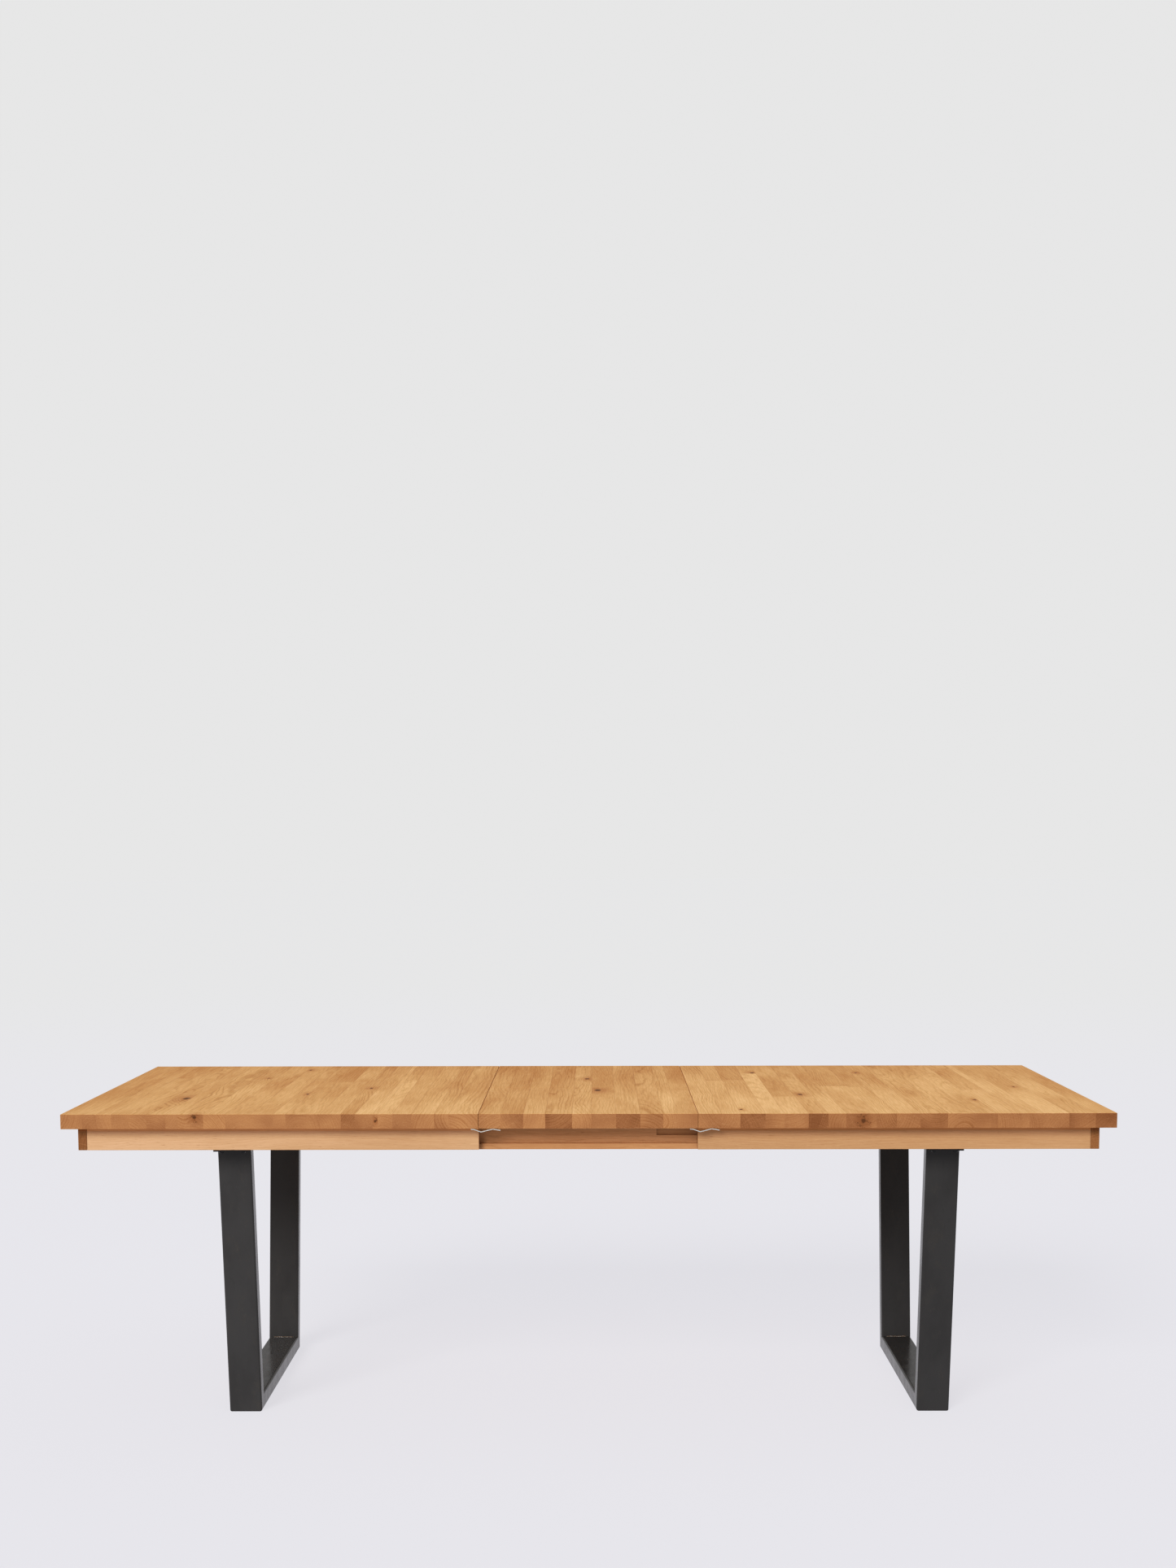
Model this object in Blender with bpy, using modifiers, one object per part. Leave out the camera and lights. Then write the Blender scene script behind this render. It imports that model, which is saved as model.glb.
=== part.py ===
"""Extendable dining table with a butterfly leaf, shown opened out with the leaf in place.

Units are metres. +X runs along the table, +Y from the near long edge to the far one, +Z up.
The origin is on the floor under the middle of the top.

Two half tops slide on a fixed underframe of grooved rails, which stands on two steel
trapezoid frames. The leaf fills the space between the half tops. It is two panels hinged
to each other along the table's centre line, and the rear one swings on two pivot pins.
"""
import math

import bmesh
import bpy
from mathutils import Matrix, Vector

# Whole table
TABLE_LENGTH = 2.400
TABLE_WIDTH = 1.000
TABLE_HEIGHT = 0.747
LEAF_LENGTH = 0.500

# Clearances
GAP = 0.0003
SEAM_GAP = 0.0008
FOLD_GAP = 0.0006
SLIDE_GAP = 0.0005

# Panels and aprons
TOP_THICKNESS = 0.034
APRON_INSET = 0.033
END_OVERHANG = 0.031
APRON_THICKNESS = 0.020
APRON_DROP = 0.0873
CORNER_BLOCK = 0.028
CORNER_BLOCK_HEIGHT = 0.045

# Fixed rails, each with a groove in its outer face
RAIL_INSET = 0.055
RAIL_THICKNESS = 0.028
RAIL_DROP = 0.0897
RAIL_END = 0.868
GROOVE_DEPTH = 0.010
GROOVE_FLANGE = 0.008
LEDGE_HEIGHT = 0.0137
POCKET_START = 0.157
POCKET_LENGTH = 0.150
POCKET_HEIGHT = 0.016
POCKET_DEPTH = 0.003

# Cross rails
INNER_CROSS_START = 0.262
INNER_CROSS_THICKNESS = 0.028
OUTER_CROSS_START = 0.786
OUTER_CROSS_THICKNESS = 0.072

# Steel leg frames
LEG_INNER = 0.7866
TUBE_WIDTH = 0.0774
TUBE_DEPTH = 0.038
TUBE_WALL = 0.003
TUBE_RADIUS = 0.005
TUBE_CORNER_STEPS = 3
PLATE_INNER = 0.778
PLATE_OUTER = 0.865
PLATE_THICKNESS = 0.005
PLATE_INSET = 0.059
FRAME_HEAD_HALF = 0.394
FRAME_FOOT_HALF = 0.305
PLATE_SCREW_X = (0.7975, 0.8475)
PLATE_SCREW_INSET = 0.068

# Leaf pivot, fold hinge and leaf clips
PIVOT_Y = 0.125
PIVOT_BELOW_PANEL = 0.008
PIN_RADIUS = 0.004
PIN_INNER_END = 0.226
PIN_FLANGE_RADIUS = 0.007
PIN_FLANGE_THICKNESS = 0.003
ARM_OUTER = 0.233
ARM_CHEEK = 0.005
ARM_FLANGE_WIDTH = 0.030
ARM_FLANGE_THICKNESS = 0.003
ARM_LENGTH = 0.040
ARM_BELOW_PIVOT = 0.014
ARM_BORE_RADIUS = 0.0043
HINGE_X = 0.160
HINGE_RADIUS = 0.007
HINGE_DEPTH = 0.018
HINGE_RECESS = 0.0005
HINGE_SLOT_WIDTH = 0.004
HINGE_SLOT_DEPTH = 0.010
CLIP_WIDTH = 0.010
CLIP_INSET = 0.0035
CLIP_THICKNESS = 0.0012
# Clip outline: distance along the table from its free end, and drop below the panel
CLIP_OUTLINE = ((0.000, 0.0006), (0.013, 0.0022), (0.0275, 0.0078), (0.031, 0.0072),
                (0.051, 0.0008), (0.055, 0.0006), (0.067, 0.0034))
CLIP_FREE_END_RIGHT = 0.2315
CLIP_FREE_END_LEFT = -0.2668

# Derived heights and places
TOP = TABLE_HEIGHT
PANEL_UNDERSIDE = TOP - TOP_THICKNESS
RAIL_TOP = PANEL_UNDERSIDE - SLIDE_GAP
RAIL_BOTTOM = TOP - RAIL_DROP
APRON_BOTTOM = TOP - APRON_DROP
LEDGE_TOP = RAIL_BOTTOM + LEDGE_HEIGHT
GROOVE_TOP = RAIL_TOP - GROOVE_FLANGE
HALF_LENGTH = TABLE_LENGTH / 2
HALF_WIDTH = TABLE_WIDTH / 2
SEAM_X = LEAF_LENGTH / 2
APRON_OUTER_Y = HALF_WIDTH - APRON_INSET
APRON_INNER_Y = APRON_OUTER_Y - APRON_THICKNESS
END_APRON_OUTER = HALF_LENGTH - END_OVERHANG
END_APRON_INNER = END_APRON_OUTER - APRON_THICKNESS
RAIL_OUTER_Y = HALF_WIDTH - RAIL_INSET
RAIL_INNER_Y = RAIL_OUTER_Y - RAIL_THICKNESS
PLATE_TOP = RAIL_BOTTOM - GAP
PLATE_BOTTOM = PLATE_TOP - PLATE_THICKNESS
PIVOT_Z = PANEL_UNDERSIDE - PIVOT_BELOW_PANEL
LEG_MIDDLE = LEG_INNER + TUBE_WIDTH / 2
FOLD_AXIS_Z = TOP + GAP

ROUND_STEPS = 16
BORE_STEPS = 24
MERGE_DISTANCE = 0.00001
CUTTER_SIZE = 0.4
SPARE_LENGTH = 0.1
CUTTER_MARGIN = 0.01

SIDES = {"left": -1, "right": 1}
ENDS = {"front": -1, "rear": 1}

FINISHES = {
    "oiled_oak": ((0.62, 0.36, 0.16), 0.45, 0.0),
    "pale_oak": ((0.68, 0.43, 0.22), 0.55, 0.0),
    "shaded_oak": ((0.42, 0.22, 0.10), 0.60, 0.0),
    "black_steel": ((0.035, 0.034, 0.036), 0.42, 0.9),
    "spring_steel": ((0.62, 0.61, 0.58), 0.30, 1.0),
    "zinc_steel": ((0.50, 0.50, 0.48), 0.38, 1.0),
}


def clear_scene():
    for scene_object in list(bpy.data.objects):
        bpy.data.objects.remove(scene_object, do_unlink=True)


def new_collection(name):
    collection = bpy.data.collections.new(name)
    bpy.context.scene.collection.children.link(collection)
    return collection


def finish(table_object, finish_name):
    """Give an object its own material in one of the named finishes."""
    colour, roughness, metallic = FINISHES[finish_name]
    material = bpy.data.materials.new(table_object.name + "_" + finish_name)
    material.use_nodes = True
    shader = material.node_tree.nodes["Principled BSDF"]
    shader.inputs["Base Color"].default_value = (*colour, 1.0)
    shader.inputs["Roughness"].default_value = roughness
    shader.inputs["Metallic"].default_value = metallic
    table_object.data.materials.clear()
    table_object.data.materials.append(material)


def link_mesh(name, bm, collection, location=(0, 0, 0)):
    mesh = bpy.data.meshes.new(name)
    bm.to_mesh(mesh)
    bm.free()
    table_object = bpy.data.objects.new(name, mesh)
    table_object.location = location
    collection.objects.link(table_object)
    return table_object


def box(name, low, high, collection):
    """A box between two corners, with its origin at its centre."""
    low = Vector(low)
    high = Vector(high)
    bm = bmesh.new()
    bmesh.ops.create_cube(bm, size=1.0)
    bmesh.ops.scale(bm, vec=high - low, verts=bm.verts)
    return link_mesh(name, bm, collection, (low + high) / 2)


def mirrored_span(side, near, far):
    """Two distances from the middle, turned into low and high coordinates on one side."""
    return sorted((side * near, side * far))


def side_box(name, x_side, x_span, y_side, y_span, z_span, collection):
    """A box given by its distances from the table's middle planes."""
    x_low, x_high = mirrored_span(x_side, *x_span)
    y_low, y_high = mirrored_span(y_side, *y_span)
    z_low, z_high = z_span
    return box(name, (x_low, y_low, z_low), (x_high, y_high, z_high), collection)


def cylinder(name, radius, length, location, rotation, collection, steps=ROUND_STEPS):
    bm = bmesh.new()
    bmesh.ops.create_cone(bm, cap_ends=True, segments=steps, radius1=radius, radius2=radius,
                          depth=length)
    table_object = link_mesh(name, bm, collection, location)
    table_object.rotation_euler = rotation
    return table_object


def turned(name, profile, location, rotation, collection):
    """A solid of revolution about local Z, from (radius, height) points, top to bottom."""
    bm = bmesh.new()
    points = [bm.verts.new((radius, 0, height)) for radius, height in profile]
    for first, second in zip(points, points[1:]):
        bm.edges.new((first, second))
    table_object = link_mesh(name, bm, collection, location)
    table_object.rotation_euler = rotation
    screw = table_object.modifiers.new("turn", "SCREW")
    screw.steps = ROUND_STEPS
    screw.render_steps = ROUND_STEPS
    screw.use_merge_vertices = True
    screw.merge_threshold = MERGE_DISTANCE
    return table_object


def cut(table_object, cutter):
    cutter.hide_render = True
    cutter.display_type = "WIRE"
    boolean = table_object.modifiers.new("cut_" + cutter.name, "BOOLEAN")
    boolean.operation = "DIFFERENCE"
    boolean.solver = "EXACT"
    boolean.object = cutter


def parent_keeping_place(child, parent):
    """Parent an object whose own transform is already in world coordinates."""
    child.parent = parent
    child.matrix_parent_inverse = Matrix.Translation(-parent.location)


def joint_empty(name, location, collection):
    empty = bpy.data.objects.new(name, None)
    empty.location = location
    empty.empty_display_size = 0.05
    collection.objects.link(empty)
    return empty


def rounded_rectangle(width, depth, radius):
    """Outline points of a rectangle with round corners, centred on the origin."""
    points = []
    centres = ((1, 1), (-1, 1), (-1, -1), (1, -1))
    for quarter, (x_side, y_side) in enumerate(centres):
        centre_x = x_side * (width / 2 - radius)
        centre_y = y_side * (depth / 2 - radius)
        for step in range(TUBE_CORNER_STEPS + 1):
            angle = math.radians(90 * (quarter + step / TUBE_CORNER_STEPS))
            points.append((centre_x + radius * math.cos(angle),
                           centre_y + radius * math.sin(angle)))
    return points


def rectangular_tube(name, length, collection):
    """A straight length of rectangular steel tube, open at both ends, along local Z."""
    curve = bpy.data.curves.new(name + "_outline", "CURVE")
    curve.dimensions = "2D"
    curve.fill_mode = "BOTH"
    curve.extrude = length / 2
    bore = 2 * TUBE_WALL
    outlines = (
        rounded_rectangle(TUBE_WIDTH, TUBE_DEPTH, TUBE_RADIUS),
        rounded_rectangle(TUBE_WIDTH - bore, TUBE_DEPTH - bore, TUBE_RADIUS - TUBE_WALL),
    )
    for outline in outlines:
        spline = curve.splines.new("POLY")
        spline.points.add(len(outline) - 1)
        for point, (x, y) in zip(spline.points, outline):
            point.co = (x, y, 0, 1)
        spline.use_cyclic_u = True
    outline_object = bpy.data.objects.new(name + "_outline", curve)
    collection.objects.link(outline_object)
    evaluated = outline_object.evaluated_get(bpy.context.evaluated_depsgraph_get())
    mesh = bpy.data.meshes.new_from_object(evaluated)
    bpy.data.objects.remove(outline_object, do_unlink=True)
    bm = bmesh.new()
    bm.from_mesh(mesh)
    bpy.data.meshes.remove(mesh)
    bmesh.ops.remove_doubles(bm, verts=bm.verts, dist=MERGE_DISTANCE)
    bmesh.ops.recalc_face_normals(bm, faces=bm.faces)
    return link_mesh(name, bm, collection)


def frame_lean():
    """Angle of an upright from the vertical: the frame is wider at its head."""
    return math.atan2(FRAME_HEAD_HALF - FRAME_FOOT_HALF, PLATE_BOTTOM)


def mitre_inner_y():
    """Distance from the middle at which the foot mitre meets the top of the foot bar."""
    half_corner = (math.pi / 2 + frame_lean()) / 2
    return FRAME_FOOT_HALF - TUBE_DEPTH / math.tan(half_corner)


def mitre_cutter(name, x_middle, y_side, outward, cutters):
    """A large block whose face lies on a foot corner's mitre plane, on one side of it."""
    outer = Vector((x_middle, y_side * FRAME_FOOT_HALF, 0))
    inner = Vector((x_middle, y_side * mitre_inner_y(), TUBE_DEPTH))
    along = (inner - outer).normalized()
    normal = Vector((0, along.z, -along.y))
    if (normal.y * y_side > 0) != outward:
        normal.negate()
    block = box(name, (-CUTTER_SIZE / 2,) * 3, (CUTTER_SIZE / 2,) * 3, cutters)
    block.rotation_euler = normal.to_track_quat("Z", "X").to_euler()
    block.location = (outer + inner) / 2 + normal * (CUTTER_SIZE / 2 - GAP / 2)
    return block


def make_leg_frame(side_name, parts, cutters):
    """One steel frame: plate across the top, two leaning uprights and a foot bar."""
    side = SIDES[side_name]
    x_middle = side * LEG_MIDDLE
    plate_half = HALF_WIDTH - PLATE_INSET
    plate = side_box(f"leg_plate_{side_name}", side, (PLATE_INNER, PLATE_OUTER), 1,
                     (-plate_half, plate_half), (PLATE_BOTTOM, PLATE_TOP), parts)
    finish(plate, "black_steel")

    foot = rectangular_tube(f"foot_bar_{side_name}", 2 * FRAME_FOOT_HALF + SPARE_LENGTH, parts)
    foot.rotation_euler = (math.radians(90), 0, 0)
    foot.location = (x_middle, 0, TUBE_DEPTH / 2)
    finish(foot, "black_steel")

    lean = frame_lean()
    upright_length = PLATE_BOTTOM / math.cos(lean)
    for end_name, y_side in ENDS.items():
        name = f"upright_{side_name}_{end_name}"
        upright = rectangular_tube(name, upright_length + SPARE_LENGTH, parts)
        outer_middle_y = (FRAME_HEAD_HALF + FRAME_FOOT_HALF) / 2
        upright.rotation_euler = (-y_side * lean, 0, 0)
        upright.location = (
            x_middle,
            y_side * (outer_middle_y - TUBE_DEPTH / 2 * math.cos(lean)),
            PLATE_BOTTOM / 2 + TUBE_DEPTH / 2 * math.sin(lean),
        )
        head_cut = box(name + "_head_cut", (-CUTTER_SIZE / 2,) * 3, (CUTTER_SIZE / 2,) * 3, cutters)
        head_cut.location = (x_middle, y_side * FRAME_HEAD_HALF,
                             PLATE_BOTTOM - GAP + CUTTER_SIZE / 2)
        cut(upright, head_cut)
        cut(upright, mitre_cutter(name + "_mitre", x_middle, y_side, False, cutters))
        cut(foot, mitre_cutter(name + "_foot_mitre", x_middle, y_side, True, cutters))
        finish(upright, "black_steel")
        for number, screw_x in enumerate(PLATE_SCREW_X, start=1):
            screw_y = y_side * (HALF_WIDTH - PLATE_SCREW_INSET)
            make_pan_screw(f"plate_screw_{side_name}_{end_name}_{number}", 0.006, 0.004,
                           (side * screw_x, screw_y, PLATE_BOTTOM - GAP), parts)


def make_pan_screw(name, radius, height, location, parts):
    """A domed screw head that hangs below a face at its location."""
    profile = [(0, 0), (radius, 0), (radius, -0.4 * height), (0.75 * radius, -0.85 * height),
               (0, -height)]
    screw = turned(name, profile, location, (0, 0, 0), parts)
    finish(screw, "zinc_steel")
    return screw


def make_rail(end_name, parts, cutters):
    """A fixed long rail, grooved on its outer face for the half tops' runners."""
    y_side = ENDS[end_name]
    rail = side_box(f"rail_{end_name}", 1, (-RAIL_END, RAIL_END), y_side,
                    (RAIL_INNER_Y, RAIL_OUTER_Y), (RAIL_BOTTOM, RAIL_TOP), parts)
    groove_floor = RAIL_OUTER_Y - GROOVE_DEPTH
    groove = side_box(f"rail_{end_name}_groove", 1, (-1, 1), y_side,
                      (groove_floor, RAIL_OUTER_Y + 0.01), (LEDGE_TOP, GROOVE_TOP), cutters)
    cut(rail, groove)
    if end_name == "front":
        pocket = side_box("rail_front_pocket", 1, (POCKET_START, POCKET_START + POCKET_LENGTH),
                          y_side, (groove_floor - POCKET_DEPTH, RAIL_OUTER_Y - 0.002),
                          (GROOVE_TOP - POCKET_HEIGHT, GROOVE_TOP), cutters)
        cut(rail, pocket)
    finish(rail, "shaded_oak")


def make_cross_rails(side_name, parts):
    side = SIDES[side_name]
    width = RAIL_INNER_Y - GAP
    spans = {
        "inner": (INNER_CROSS_START, INNER_CROSS_START + INNER_CROSS_THICKNESS),
        "outer": (OUTER_CROSS_START, OUTER_CROSS_START + OUTER_CROSS_THICKNESS),
    }
    for place, x_span in spans.items():
        cross = side_box(f"cross_rail_{side_name}_{place}", side, x_span, 1, (-width, width),
                         (RAIL_BOTTOM, RAIL_TOP), parts)
        finish(cross, "pale_oak")


def make_pivot_pin(side_name, parts):
    """A flanged pin on the inner cross rail, which the leaf's arm turns on."""
    side = SIDES[side_name]
    start = INNER_CROSS_START - GAP
    length = start - PIN_INNER_END
    profile = [(0, length), (PIN_RADIUS, length), (PIN_RADIUS, PIN_FLANGE_THICKNESS),
               (PIN_FLANGE_RADIUS, PIN_FLANGE_THICKNESS), (PIN_FLANGE_RADIUS, 0), (0, 0)]
    pin = turned(f"pivot_pin_{side_name}", profile, (side * start, PIVOT_Y, PIVOT_Z),
                 (0, math.radians(-90 * side), 0), parts)
    finish(pin, "zinc_steel")


def make_clip(side_name, end_name, parts):
    """A bent spring-steel strip under the edge, which laps from the half top to the leaf."""
    y_side = ENDS[end_name]
    start = CLIP_FREE_END_LEFT if side_name == "left" else CLIP_FREE_END_RIGHT
    near = y_side * (HALF_WIDTH - CLIP_INSET)
    bm = bmesh.new()
    points = [bm.verts.new((start + along, near, PANEL_UNDERSIDE - GAP - drop))
              for along, drop in CLIP_OUTLINE]
    edges = [bm.edges.new(pair) for pair in zip(points, points[1:])]
    extruded = bmesh.ops.extrude_edge_only(bm, edges=edges)
    moved = [item for item in extruded["geom"] if isinstance(item, bmesh.types.BMVert)]
    bmesh.ops.translate(bm, verts=moved, vec=(0, -y_side * CLIP_WIDTH, 0))
    bmesh.ops.recalc_face_normals(bm, faces=bm.faces)
    clip = link_mesh(f"clip_{side_name}_{end_name}", bm, parts)
    solidify = clip.modifiers.new("strip", "SOLIDIFY")
    solidify.thickness = CLIP_THICKNESS
    solidify.offset = 0
    solidify.use_even_offset = True
    finish(clip, "spring_steel")
    return clip


def make_half_top(side_name, parts, empties):
    """A half top: panel, aprons, runners, corner blocks and clips, all sliding along X."""
    side = SIDES[side_name]
    slide = joint_empty(f"{side_name}_slide", (side * SEAM_X, 0, PANEL_UNDERSIDE), empties)
    pieces = []
    start = SEAM_X + SEAM_GAP / 2
    under = PANEL_UNDERSIDE - GAP
    panel = side_box(f"panel_{side_name}", side, (start, HALF_LENGTH), 1,
                     (-HALF_WIDTH, HALF_WIDTH), (PANEL_UNDERSIDE, TOP), parts)
    finish(panel, "oiled_oak")
    end_apron = side_box(f"apron_{side_name}_end", side, (END_APRON_INNER, END_APRON_OUTER), 1,
                         (-APRON_OUTER_Y, APRON_OUTER_Y), (APRON_BOTTOM, under), parts)
    finish(end_apron, "pale_oak")
    pieces += [panel, end_apron]
    apron_end = END_APRON_INNER - GAP
    for end_name, y_side in ENDS.items():
        apron = side_box(f"apron_{side_name}_{end_name}", side, (start, apron_end), y_side,
                         (APRON_INNER_Y, APRON_OUTER_Y), (APRON_BOTTOM, under), parts)
        finish(apron, "pale_oak")
        runner = side_box(f"runner_{side_name}_{end_name}", side,
                          (start, apron_end - CORNER_BLOCK - GAP), y_side,
                          (RAIL_OUTER_Y - GROOVE_DEPTH + SLIDE_GAP, APRON_INNER_Y - GAP),
                          (LEDGE_TOP + SLIDE_GAP, GROOVE_TOP - SLIDE_GAP), parts)
        finish(runner, "pale_oak")
        block = side_box(f"corner_block_{side_name}_{end_name}", side,
                         (apron_end - CORNER_BLOCK, apron_end), y_side,
                         (APRON_INNER_Y - GAP - CORNER_BLOCK, APRON_INNER_Y - GAP),
                         (under - CORNER_BLOCK_HEIGHT, under), parts)
        finish(block, "pale_oak")
        clip = make_clip(side_name, end_name, parts)
        pieces += [apron, runner, block, clip]
    for piece in pieces:
        parent_keeping_place(piece, slide)


def cut_hinge_bores(leaf, y_side, cutters):
    """Blind bores in a leaf panel's inner edge, for the barrels of the fold hinges."""
    depth = 2 * (HINGE_DEPTH + HINGE_RECESS)
    for side_name, side in SIDES.items():
        bore = cylinder(f"{leaf.name}_bore_{side_name}", HINGE_RADIUS + GAP, depth,
                        (side * HINGE_X, y_side * FOLD_GAP / 2, TOP - TOP_THICKNESS / 2),
                        (math.radians(90), 0, 0), cutters, BORE_STEPS)
        cut(leaf, bore)


def make_hinge_barrels(end_name, empty, parts, cutters):
    """The slotted barrels of the two concealed fold hinges, in one leaf panel."""
    y_side = ENDS[end_name]
    start = FOLD_GAP / 2 + HINGE_RECESS
    height = TOP - TOP_THICKNESS / 2
    for side_name, side in SIDES.items():
        barrel = cylinder(f"hinge_barrel_{end_name}_{side_name}", HINGE_RADIUS, HINGE_DEPTH - GAP,
                          (side * HINGE_X, y_side * (start + (HINGE_DEPTH - GAP) / 2), height),
                          (math.radians(90), 0, 0), parts)
        slot_half = HINGE_SLOT_WIDTH / 2
        slot = side_box(barrel.name + "_slot", side, (HINGE_X - slot_half, HINGE_X + slot_half),
                        y_side, (start - 0.01, start + HINGE_SLOT_DEPTH),
                        (height - 0.02, height + 0.02), cutters)
        cut(barrel, slot)
        finish(barrel, "zinc_steel")
        parent_keeping_place(barrel, empty)


def make_pivot_arm(side_name, parts, cutters):
    """A steel angle under the rear leaf panel, with a bore for the pivot pin."""
    side = SIDES[side_name]
    top = PANEL_UNDERSIDE - GAP
    y_span = (PIVOT_Y - ARM_LENGTH / 2, PIVOT_Y + ARM_LENGTH / 2)
    arm = side_box(f"pivot_arm_{side_name}", side, (ARM_OUTER - ARM_FLANGE_WIDTH, ARM_OUTER), 1,
                   y_span, (PIVOT_Z - ARM_BELOW_PIVOT, top), parts)
    relief = side_box(arm.name + "_relief", side,
                      (ARM_OUTER - ARM_FLANGE_WIDTH - 0.01, ARM_OUTER - ARM_CHEEK), 1,
                      (y_span[0] - 0.01, y_span[1] + 0.01),
                      (PIVOT_Z - ARM_BELOW_PIVOT - 0.01, top - ARM_FLANGE_THICKNESS), cutters)
    bore = cylinder(arm.name + "_bore", ARM_BORE_RADIUS, 0.04, (side * ARM_OUTER, PIVOT_Y, PIVOT_Z),
                    (0, math.radians(90), 0), cutters, BORE_STEPS)
    cut(arm, relief)
    cut(arm, bore)
    finish(arm, "zinc_steel")
    return arm


def make_leaf(parts, cutters, empties):
    """The butterfly leaf: a rear panel on the pivot pins and a front panel hinged to it."""
    pivot = joint_empty("leaf_pivot_axis", (0, PIVOT_Y, PIVOT_Z), empties)
    fold = joint_empty("leaf_fold_axis", (0, 0, FOLD_AXIS_Z), empties)
    half_length = SEAM_X - SEAM_GAP / 2
    for end_name, empty in (("rear", pivot), ("front", fold)):
        y_side = ENDS[end_name]
        leaf = side_box(f"leaf_{end_name}", 1, (-half_length, half_length), y_side,
                        (FOLD_GAP / 2, HALF_WIDTH), (PANEL_UNDERSIDE, TOP), parts)
        cut_hinge_bores(leaf, y_side, cutters)
        finish(leaf, "oiled_oak")
        parent_keeping_place(leaf, empty)
        make_hinge_barrels(end_name, empty, parts, cutters)
    for side_name, side in SIDES.items():
        arm = make_pivot_arm(side_name, parts, cutters)
        parent_keeping_place(arm, pivot)
        screw_x = side * (ARM_OUTER - ARM_FLANGE_WIDTH + 0.009)
        screw_z = PANEL_UNDERSIDE - 2 * GAP - ARM_FLANGE_THICKNESS
        screw = make_pan_screw(f"arm_screw_{side_name}", 0.0035, 0.002,
                               (screw_x, PIVOT_Y, screw_z), parts)
        parent_keeping_place(screw, pivot)


def main():
    clear_scene()
    parts = new_collection("extendable_dining_table")
    cutters = new_collection("cutters")
    empties = new_collection("joint_axes")
    for end_name in ENDS:
        make_rail(end_name, parts, cutters)
    for side_name in SIDES:
        make_cross_rails(side_name, parts)
        make_leg_frame(side_name, parts, cutters)
        make_pivot_pin(side_name, parts)
        make_half_top(side_name, parts, empties)
    make_leaf(parts, cutters, empties)


main()
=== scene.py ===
"""Looks of the extendable dining table: solid oak staves on blackened steel frames.

Metres, +Z up. +X runs along the table, and the near long edge is at -Y.
Each wooden piece is a bevelled mesh whose faces carry the facts of their stave: its corners,
its tone, where the heart of the tree lies, and a knot. The oak shader reads them.
"""

import math
import random
from types import SimpleNamespace

import bmesh
import bpy
from mathutils import Matrix, Vector


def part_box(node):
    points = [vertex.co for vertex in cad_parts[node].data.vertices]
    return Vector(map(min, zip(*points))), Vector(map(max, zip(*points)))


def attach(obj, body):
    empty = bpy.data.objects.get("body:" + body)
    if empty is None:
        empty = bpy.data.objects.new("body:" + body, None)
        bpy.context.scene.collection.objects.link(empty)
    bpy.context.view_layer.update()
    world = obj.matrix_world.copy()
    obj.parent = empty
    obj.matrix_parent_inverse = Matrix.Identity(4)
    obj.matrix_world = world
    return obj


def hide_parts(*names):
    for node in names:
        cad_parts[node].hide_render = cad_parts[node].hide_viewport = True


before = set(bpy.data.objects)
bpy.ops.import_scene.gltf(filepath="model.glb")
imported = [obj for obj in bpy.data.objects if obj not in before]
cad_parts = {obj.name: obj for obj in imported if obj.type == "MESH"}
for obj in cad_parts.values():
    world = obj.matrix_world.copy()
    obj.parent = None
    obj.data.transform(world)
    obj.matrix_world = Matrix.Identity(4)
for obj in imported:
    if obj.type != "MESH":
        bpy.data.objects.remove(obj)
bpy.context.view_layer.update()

SIDES = {"left": -1, "right": 1}
ENDS = {"front": -1, "rear": 1}
MM = 0.001

# Camera: 45 mm lens on the near side, 0.6 m above the top, shifted so that the table stands low
CAMERA_PLACE = (0.0167, -4.9185, 1.3396)
CAMERA_PITCH = -0.0942
CAMERA_YAW = -0.0038
CAMERA_ROLL = -0.0020
CAMERA_LENS = 45.06
CAMERA_SENSOR = 36.0
CAMERA_SHIFT_Y = 0.1613

# Studio
BACKGROUND = (0.798, 0.798, 0.798)
AMBIENT = 0.56
FLOOR_COLOUR = (0.12, 0.12, 0.12)
FLOOR_GLOW_NEAR = (0.680, 0.674, 0.716)
FLOOR_GLOW_FAR = (0.676, 0.676, 0.680)
FLOOR_SIZE = 95.0
BACKDROP_RADIUS = 90.0
# Distances from the middle of the floor between which its glow goes from near to far
GLOW_CHANGE = (2.0, 16.0)
# Print contrast: scene level and shown level, both linear
CONTRAST_CURVE = ((0.04, 0.026), (0.10, 0.075), (0.20, 0.168), (0.40, 0.385), (0.80, 0.80))
SUN_STRENGTH = 2.95
SUN_ANGLE = 25.0
SUN_ELEVATION = 28.5
SUN_FROM_LEFT = 24.0

# Staves, left to right: width in millimetres, tone of the face and of the end grain in percent
# The end-grain tones hold painted light as well as the staves' own tones: they run lighter in the left
# half and darker in the right half, for light that falls off from left to right
LEFT_STAVES = (
    (50, -10, 35), (32, -20, -10), (34, -15, 45), (40, 5, 75), (40, 0, 60), (43, 0, 15),
    (28, 20, 35), (58, 40, 55), (50, 20, 80), (57, -45, 30), (52, -20, 35), (28, -5, 10),
    (79, -20, -10), (47, 10, 20), (32, -35, 5), (41, 35, -20), (11, 30, 45), (33, 60, 90),
    (43, -20, -40), (52, 0, 10), (34, -5, 25), (66, 20, 40),
)
LEAF_STAVES = (
    (50, -45, 20), (52, -45, 15), (50, -15, 40), (61, -50, -75), (44, 15, 55), (56, 0, 0),
    (55, 0, -50), (52, -10, 40), (32, 30, 85), (48, -20, 25),
)
RIGHT_STAVES = (
    (52, 40, 35), (43, 30, 10), (57, 40, -70), (43, 105, 5), (55, 35, -20), (45, 5, -80),
    (40, 20, -30), (69, 45, 10), (46, 50, -35), (54, 30, 5), (62, 15, -10), (60, 25, 25),
    (53, 40, 20), (54, 30, 5), (18, 75, 45), (30, 65, 40), (60, 40, -40), (60, 20, -25), (49, 0, -80),
)
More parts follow.
